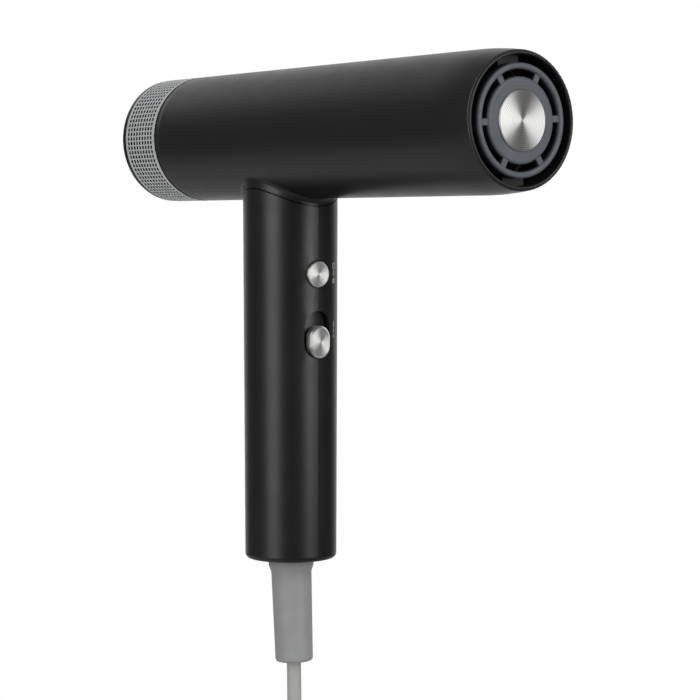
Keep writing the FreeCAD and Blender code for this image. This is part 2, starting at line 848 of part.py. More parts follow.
def make_motor_housing():
    """An aluminium tube that carries the motor can on vanes."""
    outside = tube("motor_tube", "motor_radius", "motor_bore", "-motor_rear", "-motor_front")
    can = tube("motor_can", "can_radius", "can_bore", "-can_rear", "-can_front")
    rear_wall = tube("can_rear_wall", "can_radius - 0.2", "bearing_radius",
                     "-can_rear", "can_wall - can_rear")
    seat = tube("bearing_seat", "bearing_radius + 1.2", "bearing_radius",
                "-can_rear", "bearing_width - can_rear")
    vanes = []
    for number in range(MOTOR_VANES):
        angle = 360 * number / MOTOR_VANES
        vanes.append(radial_plate(f"stator_vane_{number}", angle, "-vane_rear", "-vane_front",
                                  "can_radius - 0.3", "motor_bore + 0.5", "vane_thickness"))
    keep("motor_housing", join("motor_housing", [outside, can, rear_wall, seat] + vanes))


def make_motor_end_plate():
    disc = tube("end_plate_disc", "can_bore - fit_gap", "bearing_radius",
                "-can_front - 1.2", "-can_front")
    seat = tube("end_plate_seat", "bearing_radius + 1.2", "bearing_radius",
                "-can_front - bearing_width", "-can_front")
    keep("motor_end_plate", join("motor_end_plate", [disc, seat]))


def make_bearings():
    bore = "shaft_radius + running_gap"
    keep("rear_bearing", tube("rear_bearing", "bearing_radius - 0.01", bore,
                              "-can_rear", "bearing_width - can_rear"))
    keep("front_bearing", tube("front_bearing", "bearing_radius - 0.01", bore,
                               "-can_front - bearing_width", "-can_front"))


def make_stator():
    core_outer = "can_bore - 0.05"
    back = tube("stator_ring", core_outer, "tooth_end - 0.2", "-magnet_rear", "-magnet_front")
    teeth = []
    windings = []
    for number in range(STATOR_TEETH):
        angle = 360 * number / STATOR_TEETH
        teeth.append(radial_plate(f"tooth_{number}", angle, "-magnet_rear", "-magnet_front",
                                  "tooth_start", "tooth_end", "tooth_width"))
        around = radial_plate(f"winding_block_{number}", angle,
                              "-magnet_rear - winding_overhang",
                              "winding_overhang - magnet_front",
                              "tooth_start + 0.6", "tooth_end - 0.6", "winding_width")
        core = radial_plate(f"winding_core_{number}", angle,
                            "-magnet_rear - 0.05", "0.05 - magnet_front",
                            "tooth_start - 1", "tooth_end + 1", "tooth_width + 0.1")
        windings.append(cut(f"winding_{number}", around, core))
    keep("stator_core", join("stator_core", [back] + teeth))
    keep("stator_windings", group("stator_windings", windings))


def make_rotor():
    keep("motor_shaft", rod("motor_shaft", "shaft_radius", "-hub_nose", "-can_front + 0.6"))
    keep("rotor_magnet", tube("rotor_magnet", "magnet_radius", "shaft_radius",
                              "-magnet_rear", "-magnet_front"))


def make_impeller():
    """A cone-shaped hub with slanted blades."""
    hub = doc.addObject("Part::Cone", "impeller_hub")
    bind(hub, Radius1="hub_nose_radius", Radius2="hub_back_radius",
         Height="hub_nose - hub_back")
    place(hub, "-hub_nose", turn=ALONG_X)
    blades = []
    chord = "(hub_nose - hub_back) * 1.6"
    for number in range(BLADES):
        angle = 360 * number / BLADES
        slant = value("blade_angle")
        blade = doc.addObject("Part::Box", f"blade_{number}")
        bind(blade, Length=chord, Width="blade_thickness", Height="motor_bore - 3.5")
        turn = Rotation(Vector(1, 0, 0), angle) * Rotation(Vector(0, 0, 1), slant)
        middle = value("(hub_nose + hub_back) / 2")
        corner = turn.multVec(Vector(-value(chord) / 2, -value("blade_thickness") / 2, 3.5))
        blade.Placement = Placement(
            Vector(corner.x - middle, corner.y, corner.z + value("axis_height")), turn)
        blades.append(blade)
    swept = rod("blade_envelope", "motor_bore - blade_tip_gap", "0.4 - hub_nose", "-hub_back")
    trimmed = overlap("trimmed_blades", [join("rough_blades", blades), swept])
    solid = join("impeller_solid", [hub, trimmed])
    bore = rod("impeller_bore", "shaft_radius", "-hub_nose - 1", "1 - hub_back")
    keep("impeller", cut("impeller", solid, bore))


def make_motor_mounts():
    outer = "shell_bore - fit_gap"
    keep("rear_motor_mount", tube("rear_motor_mount", outer, "motor_radius",
                                  "2 - motor_rear", "2 + mount_width - motor_rear"))
    keep("front_motor_mount", tube("front_motor_mount", outer, "motor_radius",
                                   "-motor_front - mount_width - 2", "-motor_front - 2"))


# ---------------------------------------------------------------- air intake


def make_intake_cage():
    """The fixed cage that the filter cover slides onto."""
    ring = tube("cage_ring", "shell_bore - fit_gap", "shell_bore - fit_gap - cage_ring_wall",
                "-barrel_rear", "cage_ring_length - barrel_rear")
    disc = rod("cage_disc_plate", "cage_bar_outer", "-cage_rear", "cage_disc - cage_rear")
    pieces = [ring, disc]
    for number in range(CAGE_BARS):
        angle = 360 * number / CAGE_BARS
        pieces.append(radial_plate(f"cage_bar_{number}", angle, "0.5 - cage_rear",
                                   "cage_ring_length - barrel_rear - 1",
                                   "cage_bar_outer - cage_bar_depth",
                                   "cage_bar_outer - 0.05", "cage_bar_width"))
    keep("intake_cage", join("intake_cage", pieces))


def make_filter_cover():
    keep("filter_band", tube("filter_band", "barrel_radius", "band_bore",
                             "band_rear", "band_front"))
    body = new_body("filter_end_cap")
    section = new_sketch(body, "cap_section", "XZ_Plane")
    cap_rear = "band_rear - cap_thickness"
    cap_radius = "barrel_radius - cap_drop"
    draw_outline(section, [
        (cap_rear, "0"),
        (cap_rear, f"{cap_radius} - cap_round"),
        (f"{cap_rear} + cap_round", cap_radius, "cap_round", 1),
        ("band_rear", cap_radius),
        ("band_rear", "cap_spigot_outer"),
        ("band_rear + cap_spigot_length", "cap_spigot_outer"),
        ("band_rear + cap_spigot_length", "cap_spigot_inner"),
        ("band_rear", "cap_spigot_inner"),
        ("band_rear", "0"),
    ])
    revolve(body, section, "H_Axis")
    keep("filter_end_cap", body)
    keep("filter_mesh", tube("filter_mesh", "mesh_outer", "mesh_outer - mesh_wall",
                             "band_rear + 0.05", "band_front - 1"))


# ---------------------------------------------------------------- handle


def make_handle_shell():
    body = new_body("handle_shell")
    wall = new_sketch(body, "handle_section", "XZ_Plane")
    draw_outline(wall, [
        ("lip_bore", "-handle_end"),
        ("handle_end_radius - handle_round", "-handle_end"),
        ("handle_end_radius", "handle_round - handle_end", "handle_round", -1),
        ("handle_top_radius", "-20"),
        ("handle_bore", "-20"),
        ("handle_bore", "-base_top - fit_gap"),
        ("lip_bore", "-base_top - fit_gap"),
    ])
    revolve(body, wall, "V_Axis")
    saddle = new_sketch(body, "handle_saddle", "YZ_Plane")
    draw_circle(saddle, "collar_radius + seam_gap")
    pocket(body, saddle)
    hole = new_sketch(body, "button_hole", "YZ_Plane")
    draw_circle(hole, "button_radius + button_gap", "0", "-button_depth")
    pocket(body, hole, "handle_top_radius + 2", reverse=True)
    slot = new_sketch(body, "slider_slot", "YZ_Plane")
    draw_stadium(slot, "slot_width", "slot_length", "-slot_depth")
    pocket(body, slot, "handle_top_radius + 2", reverse=True)
    keep("handle_shell", body)


def make_handle_chassis():
    """The inner carrier: a trough that the board lies on, with a clamp wall and two bosses."""
    length = "base_top - chassis_top"
    outside = cylinder("chassis_outside", "chassis_radius", length, z="-base_top")
    inside = cylinder("chassis_inside", "chassis_radius - chassis_wall", f"{length} + 2",
                      z="-base_top - 1")
    back_half = box("chassis_limit", "-handle_top_radius", "board_back",
                    "-handle_top_radius", "handle_top_radius", "-base_top", "-chassis_top")
    trough = overlap("chassis_trough", [cut("chassis_ring", outside, inside), back_half])
    wall_block = box("clamp_wall_block", "-handle_top_radius", "-clamp_split",
                     "-handle_top_radius", "handle_top_radius", "-clamp_bottom", "-clamp_top")
    wall = overlap("clamp_wall", [wall_block, cylinder(
        "clamp_wall_limit", "chassis_radius - 0.4", "clamp_height", z="-clamp_bottom")])
    pieces = [trough, wall]
    holes = [cylinder("clamp_wall_groove", "cord_bore", "clamp_height + 2",
                      z="-clamp_bottom - 1")]
    for side, name in ((-1, "left"), (1, "right")):
        across = f"{side} * base_screw_spacing / 2"
        pieces.append(cylinder(f"base_boss_{name}", "boss_radius", "boss_length",
                               "-base_screw_back", across, "-base_top"))
        holes.append(cylinder(f"base_boss_hole_{name}", "screw_hole", "screw_length",
                              "-base_screw_back", across, "-base_top - 1"))
        holes.append(rod(f"clamp_wall_hole_{name}", "screw_hole", "-7.5", "1",
                         f"{side} * clamp_screw_spacing / 2",
                         "-(clamp_top + clamp_height / 2)"))
    solid = join("chassis_solid", pieces)
    keep("handle_chassis", cut("handle_chassis", solid, group("chassis_holes", holes)))


def make_cord_clamp():
    bar = box("clamp_bar_block", "clamp_split", "clamp_split + clamp_bar",
              "-clamp_half_width", "clamp_half_width", "-clamp_bottom", "-clamp_top")
    holes = [cylinder("clamp_bar_groove", "cord_bore", "clamp_height + 2",
                      z="-clamp_bottom - 1")]
    screws = []
    for side, name in ((-1, "left"), (1, "right")):
        across = f"{side} * clamp_screw_spacing / 2"
        height = "-(clamp_top + clamp_height / 2)"
        face = "clamp_split + clamp_bar"
        holes.append(rod(f"clamp_bar_hole_{name}", "screw_hole", "-1", "clamp_bar + 2",
                         across, height))
        shank = rod(f"clamp_shank_{name}", "screw_radius", f"{face} - screw_length",
                    f"{face} + 0.5", across, height)
        head = rod(f"clamp_head_{name}", "screw_head_radius", face,
                   f"{face} + screw_head_height", across, height)
        screws.append(join(f"clamp_screw_{name}", [shank, head]))
    keep("cord_clamp", cut("cord_clamp", bar, group("clamp_bar_holes", holes)))
    keep("clamp_screws", group("clamp_screws", screws))


def make_base_cap():
    """The disc that closes the handle, held by two sunk screws."""
    disc = cylinder("base_disc", "lip_bore - fit_gap", "base_thickness", z="-base_bottom")
    holes = [cylinder("base_relief_hole", "relief_neck_radius + base_hole_gap",
                      "base_thickness + 2", z="-base_bottom - 1")]
    screws = []
    for side, name in ((-1, "left"), (1, "right")):
        across = f"{side} * base_screw_spacing / 2"
        back = "-base_screw_back"
        sink = "screw_head_height + 0.4"
        hole = cylinder(f"base_hole_{name}", "screw_hole", "base_thickness + 2",
                        back, across, "-base_bottom - 1")
        sunk = cylinder(f"base_sink_{name}", "screw_head_radius + 0.2", f"{sink} + 1",
                        back, across, "-base_bottom - 1")
        holes.append(join(f"base_stepped_hole_{name}", [hole, sunk]))
        head_top = f"-base_bottom + {sink}"
        head = cylinder(f"base_head_{name}", "screw_head_radius", "screw_head_height",
                        back, across, f"{head_top} - screw_head_height")
        shank = cylinder(f"base_shank_{name}", "screw_radius", "screw_length + 0.5",
                         back, across, f"{head_top} - 0.5")
        screws.append(join(f"base_screw_{name}", [head, shank]))
    keep("handle_base_cap", cut("handle_base_cap", disc, group("base_cap_holes", holes)))
    keep("base_screws", group("base_screws", screws))


def make_boards():
    keep("control_board", box("control_board", "board_back", "board_front",
                              "-board_half_width", "board_half_width",
                              "-board_bottom", "-board_top"))
    keep("capacitor", cylinder("capacitor", "capacitor_radius", "capacitor_length",
                               "board_back - capacitor_radius - 0.05", "0",
                               "-capacitor_top - capacitor_length"))
    bar = "1.5"
    pins = "board_front"
    base = box("power_module_base", pins, f"{pins} + 5", "-11", "11", "-140", "-118")
    fins = []
    for number in range(5):
        low = f"-11 + {number} * 5"
        fins.append(box(f"fin_{number}", f"{pins} + 4", f"{pins} + 8.5",
                        low, f"{low} + {bar}", "-140", "-118"))
    keep("power_module", join("power_module", [base] + fins))


def make_switch_bracket():
    """A bridge over the board that guides the button's stem and the slider's peg."""
    plate = box("bracket_plate", "bracket_back", "bracket_back + bracket_thickness",
                "-bracket_half_width", "bracket_half_width", "-bracket_bottom", "-bracket_top")
    legs = []
    for name, low, high in (
            ("left", "-bracket_half_width", "bracket_thickness - bracket_half_width"),
            ("right", "bracket_half_width - bracket_thickness", "bracket_half_width")):
        legs.append(box(f"bracket_leg_{name}", "board_front", "bracket_back + 0.5", low, high,
                        "-bracket_bottom", "-bracket_top"))
    guide = rod("bracket_guide", "button_stem_radius + 0.1", "bracket_back - 1",
                "bracket_back + bracket_thickness + 1", "0", "-button_depth")
    half_peg = "peg_size / 2 + moving_gap"
    window = box("bracket_window", "bracket_back - 1", "bracket_back + bracket_thickness + 1",
                 f"-({half_peg})", half_peg, f"-knob_rest - ({half_peg})",
                 f"-knob_rest + knob_travel + {half_peg}")
    solid = join("bracket_solid", [plate] + legs)
    keep("switch_bracket", cut("switch_bracket", solid, group("bracket_holes", [guide, window])))


# ---------------------------------------------------------------- push button


def make_push_button():
    depth = "-button_depth"
    case = box("tact_case", "board_front", "board_front + tact_height",
               "-tact_size / 2", "tact_size / 2",
               f"{depth} - tact_size / 2", f"{depth} + tact_size / 2")
    well = rod("tact_well", "tact_nub_radius + 0.1",
               "tact_nub_tip - tact_nub_length - button_travel - 0.1",
               "board_front + tact_height + 1", "0", depth)
    keep("tact_switch", cut("tact_switch", case, well))
    keep("tact_nub", rod("tact_nub", "tact_nub_radius", "tact_nub_tip - tact_nub_length",
                         "tact_nub_tip", "0", depth))
    flange_back = "button_flange_front - button_flange_thickness"
    stem = rod("button_stem", "button_stem_radius", "tact_nub_tip", flange_back, "0", depth)
    flange = rod("button_flange", "button_flange_radius", flange_back,
                 "button_flange_front", "0", depth)
    neck = rod("button_neck", "button_radius - 0.2", "button_flange_front - 0.2",
               "button_front - button_cap_length", "0", depth)
    keep("button_plunger", join("button_plunger", [stem, flange, neck]))
    body = new_body("button_cap", z=depth)
    section = new_sketch(body, "button_section", "XZ_Plane")
    draw_outline(section, [
        ("button_front - button_cap_length", "0"),
        ("button_front - button_cap_length", "button_radius"),
        ("button_front - button_edge", "button_radius"),
        ("button_front", "button_radius - button_edge"),
        ("button_front", "0"),
    ])
    revolve(body, section, "H_Axis")
    keep("button_cap", body)


# ---------------------------------------------------------------- slide switch


def make_slide_switch():
    lever_back = "board_front + switch_height - 1.8"
    case = box("switch_case", "board_front", "board_front + switch_height",
               "-switch_half_width", "switch_half_width",
               "-knob_rest - lever_height / 2 - 2.5",
               "-knob_rest + knob_travel + lever_height / 2 + 2.5")
    groove = box("switch_groove", f"{lever_back} - 0.3", "board_front + switch_height + 1",
                 "-lever_width / 2 - 0.2", "lever_width / 2 + 0.2",
                 "-knob_rest - lever_height / 2 - 0.3",
                 "-knob_rest + knob_travel + lever_height / 2 + 0.3")
    keep("slide_switch", cut("slide_switch", case, groove))
    keep("switch_lever", box("switch_lever", lever_back, "lever_tip",
                             "-lever_width / 2", "lever_width / 2",
                             "-knob_rest - lever_height / 2", "-knob_rest + lever_height / 2"))


def make_slider():
    """The metal knob and the curved shutter behind the slot, which move as one."""
    height = "shutter_bottom - shutter_top"
    outside = cylinder("shutter_outside", "shutter_outer", height, z="-shutter_bottom")
    inside = cylinder("shutter_inside", "shutter_inner", f"{height} + 2",
                      z="-shutter_bottom - 1")
    front = box("shutter_limit", "5", "handle_top_radius", "-shutter_half_width",
                "shutter_half_width", "-shutter_bottom", "-shutter_top")
    plate = overlap("shutter_plate", [cut("shutter_ring", outside, inside), front])
    peg = box("slider_peg", "lever_tip", "shutter_inner + 0.5", "-peg_size / 2", "peg_size / 2",
              "-knob_rest - peg_size / 2", "-knob_rest + peg_size / 2")
    stem = box("slider_stem", "shutter_outer - 0.6", "knob_back", "-stem_width / 2",
               "stem_width / 2", "-knob_rest - stem_length / 2", "-knob_rest + stem_length / 2")
    keep("slider_carriage", join("slider_carriage", [plate, peg, stem]))
    body = new_body("slider_knob", z="-(knob_rest)")
    outline = new_sketch(body, "knob_outline", "YZ_Plane", "knob_back")
    draw_stadium(outline, "knob_width", "knob_length")
    pad(body, outline, "knob_height")
    front_x = value("knob_front")
    soften(body, "Chamfer", "Size", "knob_bevel",
           lambda edge: abs(edge.BoundBox.XMin - front_x) < 0.01)
    keep("slider_knob", body)


# ---------------------------------------------------------------- inner wiring


def make_neck_grommet():
    """A rubber plug in the neck with a hole for each wire."""
    plug = cylinder("grommet_plug", "neck_bore - 0.05", "5", z="-36")
    holes = []
    for number, (x, y, radius) in enumerate(neck_wires()):
        holes.append(cylinder(f"grommet_hole_{number}", str(radius), "7", str(x), str(y), "-37"))
    keep("neck_grommet", cut("neck_grommet", plug, group("grommet_holes", holes)))


def neck_wires():
    """Where each wire passes through the neck: x, y and the radius of its hole."""
    motor = [(-5.0, y, 0.95) for y in (-3.5, 0.0, 3.5)]
    heater = [(7.0, y, 1.15) for y in (-6.0, 6.0)]
    return motor + heater


def make_motor_wires():
    rear_face = value("board_back")
    wires = []
    for y in (-3.5, 0.0, 3.5):
        route = [(value("-can_front"), y, -7.5), (-7.0, y, -7.5), (-5.0, y, -17.0),
                 (-5.0, y, -38.0), (-4.0, y, -46.0), (-1.5, y, -50.0), (rear_face, y, -50.0)]
        wires.append(swept_tube(route, 0.8, f"motor wire at {y}"))
    shaped("motor_wires", wires, lifted=True)


def make_heater_wires():
    front_face = value("board_front")
    start = value("heater_start")
    on_mica = 10.0
    across = on_mica * math.sin(math.radians(60))
    up = -on_mica * math.cos(math.radians(60))
    wires = []
    for side in (-1, 1):
        y = side * 6.0
        route = [(start, side * across, up), (22.0, side * across, up), (11.0, y, -13.0),
                 (7.0, y, -24.0), (7.0, y, -40.0), (10.5, y, -45.0), (10.5, y, -50.0),
                 (front_face, y, -50.0)]
        wires.append(swept_tube(route, 1.0, f"heater wire on side {side}"))
    shaped("heater_wires", wires, lifted=True)


def make_supply_wires():
    rear_face = value("board_back")
    top_of_lead = LEAD_ROUTE[0][2] - value("axis_height")
    wires = []
    for y in (-1.5, 1.5):
        route = [(0.0, y, top_of_lead), (0.0, y, top_of_lead + 6.0),
                 (-2.5, y * 2.5, top_of_lead + 12.0), (-1.5, y * 2.5, top_of_lead + 18.0),
                 (rear_face, y * 2.5, top_of_lead + 18.0)]
        wires.append(swept_tube(route, 1.0, f"supply wire at {y}"))
    shaped("supply_wires", wires, lifted=True)


# ---------------------------------------------------------------- lead, coil and plug


def make_strain_relief():
    """A soft sleeve gripped by the base cap, leaning forward a little below it."""
    lean = Rotation(Vector(0, 1, 0), -value("relief_lean"))
    body = new_body("relief_sleeve", z="-base_bottom", turn=lean)
    section = new_sketch(body, "relief_section", "XZ_Plane")
    draw_outline(section, [
        ("0", "2"),
        ("relief_neck_radius - 0.2", "2"),
        ("relief_neck_radius - 0.2", "-relief_start"),
        ("relief_collar_radius", "-relief_start"),
        ("relief_collar_radius", "-relief_start - relief_collar_length / 2"),
        ("relief_top_radius", "-relief_start - relief_collar_length"),
        ("relief_end_radius", "relief_round - relief_length"),
        ("relief_end_radius - relief_round", "-relief_length", "relief_round", 1),
        ("0", "-relief_length"),
    ])
    revolve(body, section, "V_Axis")
    flange = cylinder("relief_flange", "relief_flange_radius", "relief_flange_thickness",
                      z="-base_top + 0.05")
    neck = cylinder("relief_neck", "relief_neck_radius", "base_thickness + 0.5",
                    z="-base_bottom")
    solid = join("relief_solid", [body, flange, neck])
    upper_bore = cylinder("relief_upper_bore", "relief_bore", "40", z="-base_bottom")
    lower_bore = cylinder("relief_lower_bore", "relief_bore", "relief_length + 4",
                          z="-base_bottom", turn=lean * Rotation(Vector(1, 0, 0), 180))
    bores = join("relief_bores", [upper_bore, lower_bore])
    keep("strain_relief", cut("strain_relief", solid, bores))


def make_lead():
    radius = value("cord_radius")
    shaped("cord_lead", [swept_tube(LEAD_ROUTE, radius, "cord_lead")], lifted=False)
    shaped("cord_tail", [swept_tube(TAIL_ROUTE, radius, "cord_tail")], lifted=False)


def coil_centre():
    """The coil hangs under the straight stretch of the lead."""
    return LEAD_ROUTE[3][0], 0.0, value("coil_height")


def make_coil():
    """The outer shape of the wound lead: a ring standing in the plane of the handle."""
    ring = doc.addObject("Part::Torus", "cord_coil")
    bind(ring, Radius1="coil_radius", Radius2="coil_bundle")
    place(ring, str(coil_centre()[0]), "0", "coil_height",
          Rotation(Vector(1, 0, 0), 90), lifted=False)
    keep("cord_coil", ring)


def make_cord_tie():
    """A strap around the bundle at the side where the lead joins the coil."""
    outer = doc.addObject("Part::Torus", "tie_outside")
    inner = doc.addObject("Part::Torus", "tie_inside")
    bind(outer, Radius1="coil_radius", Radius2="coil_bundle + fit_gap + tie_wall",
         Angle3="tie_width / coil_radius * 180 / pi")
    bind(inner, Radius1="coil_radius", Radius2="coil_bundle + fit_gap")
    half_angle = math.degrees(value("tie_width / coil_radius / 2"))
    standing = Rotation(Vector(1, 0, 0), 90)
    for ring in (outer, inner):
        turn = standing * Rotation(Vector(0, 0, 1), -half_angle)
        place(ring, str(coil_centre()[0]), "0", "coil_height", turn, lifted=False)
    keep("cord_tie", cut("cord_tie", outer, inner))


def make_plug():
    """An oval plug body that narrows to the lead, with two round pins."""
    x, y, z = TAIL_ROUTE[-1]
    body = doc.addObject("PartDesign::Body", "plug_body")
    place(body, str(x), str(y), str(z), lifted=False)
    sections = [
        ("plug_neck_radius", "plug_neck_radius", "0"),
        ("plug_neck_radius + 1.5", "plug_neck_radius + 1", "-8"),
        ("plug_half_width * 0.86", "plug_half_depth * 0.86", "-(plug_length - plug_face_length)"),
        ("plug_half_width", "plug_half_depth", "-(plug_length - plug_face_length / 2)"),
        ("plug_half_width", "plug_half_depth", "-plug_length"),
    ]
    sketches = []
    for number, (wide, deep, height) in enumerate(sections):
        sketch = new_sketch(body, f"plug_section_{number}", "XY_Plane", height)
        draw_oval(sketch, wide, deep)
        sketches.append(sketch)
    loft = body.newObject("PartDesign::AdditiveLoft", "plug_loft")
    loft.Profile = sketches[0]
    loft.Sections = sketches[1:]
    holes = new_sketch(body, "pin_seats", "XY_Plane", "-plug_length")
    for side in (-1, 1):
        draw_circle(holes, "pin_root_radius", f"{side} * pin_spacing / 2")
    pocket(body, holes, "pin_seat", reverse=True)
    keep("plug_body", body)
    pins = []
    for side, name in ((-1, "rear"), (1, "front")):
        pin = doc.addObject("PartDesign::Body", f"pin_{name}")
        place(pin, f"{x} + {side} * pin_spacing / 2", str(y), f"{z} - plug_length", lifted=False)
        section = new_sketch(pin, f"pin_section_{name}", "XZ_Plane")
        draw_outline(section, [
            ("0", "pin_seat"),
            ("pin_root_radius", "pin_seat"),
            ("pin_root_radius", "-pin_relief"),
            ("pin_radius", "-pin_relief"),
            ("pin_radius", "pin_tip - pin_length"),
            ("pin_radius - pin_tip", "-pin_length", "pin_tip", 1),
            ("0", "-pin_length"),
        ])
        revolve(pin, section, "V_Axis")
        pins.append(pin)
    keep("plug_pins", group("plug_pins", pins))


def draw_oval(sketch, wide, deep):
    """An oval of four arcs: two flat sides and two round ends, as tangent arcs."""
    half_wide, half_deep = value(wide), value(deep)
    ellipse = Part.Ellipse(Vector(half_wide, 0, 0), Vector(0, half_deep, 0), Vector(0, 0, 0))
    if half_wide - half_deep < 1e-6:
        draw_circle(sketch, wide)
        return
    sketch.addGeometry(ellipse)


# ---------------------------------------------------------------- build and write


def main():
    make_barrel_shell()
    make_outlet_duct()
    make_outlet_grille()
    make_outlet_disc()
    make_heater_sleeve()
    make_heater_frame()
    make_heater_wire()
    make_thermal_guards()
    make_motor_housing()
    make_motor_end_plate()
    make_bearings()
    make_stator()
    make_rotor()
    make_impeller()
    make_motor_mounts()
    make_intake_cage()
    make_filter_cover()
    make_handle_shell()
    make_handle_chassis()
    make_cord_clamp()
    make_base_cap()
    make_boards()
    make_switch_bracket()
    make_push_button()
    make_slide_switch()
    make_slider()
    make_neck_grommet()
    make_motor_wires()
    make_heater_wires()
    make_supply_wires()
    make_strain_relief()
    make_lead()
    make_coil()
    make_cord_tie()
    make_plug()
    doc.recompute()
    check_objects()
    write_parts()


def check_objects():
    for thing in doc.Objects:
        if "Invalid" in thing.State or "Error" in thing.State:
            raise RuntimeError(f"{thing.Name} failed: {thing.State}")
    for thing in SUBPARTS:
        if thing.Shape.isNull() or not thing.Shape.isValid() or not thing.Shape.Solids:
            raise RuntimeError(f"{thing.Label} has no valid solid")


def write_parts():
    os.makedirs("parts", exist_ok=True)
    for thing in SUBPARTS:
        thing.Shape.exportStep(f"parts/{thing.Label}.step")
        print(f"{thing.Label}: {len(thing.Shape.Solids)} solid(s), "
              f"{thing.Shape.Volume:.1f} mm3")


main()
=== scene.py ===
"""The looks of the hair dryer, built around its CAD frame.

Everything is in metres in the part's own frame: +X is the way the air leaves, +Z is up, and
the handle's axis is the Z axis.
"""

import json
import math

import bmesh
import bpy
from mathutils import Matrix, Vector


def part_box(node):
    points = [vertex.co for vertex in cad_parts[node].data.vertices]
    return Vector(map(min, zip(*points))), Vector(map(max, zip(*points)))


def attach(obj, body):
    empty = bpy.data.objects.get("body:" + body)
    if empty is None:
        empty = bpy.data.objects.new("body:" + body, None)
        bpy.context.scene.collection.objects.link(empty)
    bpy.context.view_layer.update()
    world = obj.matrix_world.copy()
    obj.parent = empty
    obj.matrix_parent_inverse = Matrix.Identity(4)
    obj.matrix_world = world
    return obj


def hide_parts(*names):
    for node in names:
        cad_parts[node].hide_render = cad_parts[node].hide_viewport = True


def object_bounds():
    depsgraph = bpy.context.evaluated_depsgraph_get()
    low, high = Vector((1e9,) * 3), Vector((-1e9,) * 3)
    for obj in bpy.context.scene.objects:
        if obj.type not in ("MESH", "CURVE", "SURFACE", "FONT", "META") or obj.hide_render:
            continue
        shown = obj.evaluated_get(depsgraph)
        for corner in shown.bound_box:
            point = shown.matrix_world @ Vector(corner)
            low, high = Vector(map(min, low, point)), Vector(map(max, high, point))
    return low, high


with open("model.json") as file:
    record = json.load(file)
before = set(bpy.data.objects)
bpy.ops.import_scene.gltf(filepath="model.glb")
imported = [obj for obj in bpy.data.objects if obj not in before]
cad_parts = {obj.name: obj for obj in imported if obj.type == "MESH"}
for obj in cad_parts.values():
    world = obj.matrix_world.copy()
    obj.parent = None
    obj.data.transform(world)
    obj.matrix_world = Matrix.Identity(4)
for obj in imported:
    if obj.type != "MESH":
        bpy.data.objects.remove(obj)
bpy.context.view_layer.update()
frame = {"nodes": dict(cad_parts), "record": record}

BAND_LOW, BAND_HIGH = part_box("filter_band")
BARREL_RADIUS = (BAND_HIGH.y - BAND_LOW.y) / 2
AXIS_HEIGHT = (BAND_HIGH.z + BAND_LOW.z) / 2
HANDLE_RADIUS = (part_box("handle_shell")[1].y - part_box("handle_shell")[0].y) / 2

# ---------------------------------------------------------------- camera and cord

CAMERA_PLACE = Vector((0.7608, -0.5469, 0.0642))
CAMERA_FORWARD = Vector((-0.7942, 0.6050, -0.0567)).normalized()
CAMERA_LENS = 110.35

# The lead's points, as in the part's source, in metres.
LEAD_ROUTE = [
    (0.0, 0.0, -0.057),
    (0.0, 0.0, -0.0795),
    (0.0024, 0.0, -0.1254),
    (0.0024, 0.0, -0.166),
    (0.007, -0.006, -0.189),
    (0.020, -0.0125, -0.210),
    (0.035, -0.0135, -0.226),
    (0.043, -0.0095, -0.2405),
]
TAIL_ROUTE = [
    (0.049, -0.0015, -0.260),
    (0.0495, 0.0, -0.272),
    (0.0495, 0.0, -0.288),
]
CORD_DIAMETER = 0.00635
COIL_CENTRE = Vector((0.0024, 0.0, -0.250))
COIL_RADIUS = 0.038
COIL_TURNS = 6
POINTS_PER_TURN = 14
STRAND_OFFSET = 0.0074
STRAND_STEP = 360 / 7
FIRST_STRAND_ANGLE = -70


def make_camera():
    camera = bpy.data.objects.new("camera", bpy.data.cameras.new("camera"))
    bpy.context.scene.collection.objects.link(camera)
    back = -CAMERA_FORWARD
    right = Vector((0, 0, 1)).cross(back).normalized()
    up = back.cross(right)
    turn = Matrix((right, up, back)).transposed().to_4x4()
    camera.matrix_world = Matrix.Translation(CAMERA_PLACE) @ turn
    camera.data.lens = CAMERA_LENS
    camera.data.sensor_width = 36
    camera.data.clip_end = 20
    bpy.context.scene.camera = camera


def coil_points():
    """Turns beside each other around the middle line of a ring that hangs in the XZ plane."""
    step = 2 * math.pi / POINTS_PER_TURN
    swell = 1 / math.cos(step / 2)
    count = COIL_TURNS * POINTS_PER_TURN
    points = []
    for number in range(count):
        along = -step * (number + 0.5)
        turns = (number + 0.5) / POINTS_PER_TURN
        around = math.radians(FIRST_STRAND_ANGLE + STRAND_STEP * turns)
        reach = (COIL_RADIUS + STRAND_OFFSET * math.cos(around)) * swell
        points.append(COIL_CENTRE + Vector((
            reach * math.cos(along),
            STRAND_OFFSET * math.sin(around),
            reach * math.sin(along),
        )))
    return points


def make_cord():
    route = [Vector(p) for p in LEAD_ROUTE] + coil_points() + [Vector(p) for p in TAIL_ROUTE]
    curve = bpy.data.curves.new("mains_cord", "CURVE")
    curve.dimensions = "3D"
    # The points carry the cord's radius, so that the curve's own box is no thicker than the cord.
    curve.bevel_depth = 1.0
    curve.bevel_resolution = 6
    curve.resolution_u = 8
    curve.use_fill_caps = True
    spline = curve.splines.new("NURBS")
    spline.points.add(len(route) - 1)
    for point, place in zip(spline.points, route):
        point.co = (*place, 1)
        point.radius = CORD_DIAMETER / 2
    spline.order_u = 3
    spline.use_endpoint_u = True
    cord = bpy.data.objects.new("mains_cord", curve)
    bpy.context.scene.collection.objects.link(cord)
    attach(cord, "dryer")
    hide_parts("cord_lead", "cord_coil", "cord_tail")
    return cord


# ---------------------------------------------------------------- node helpers


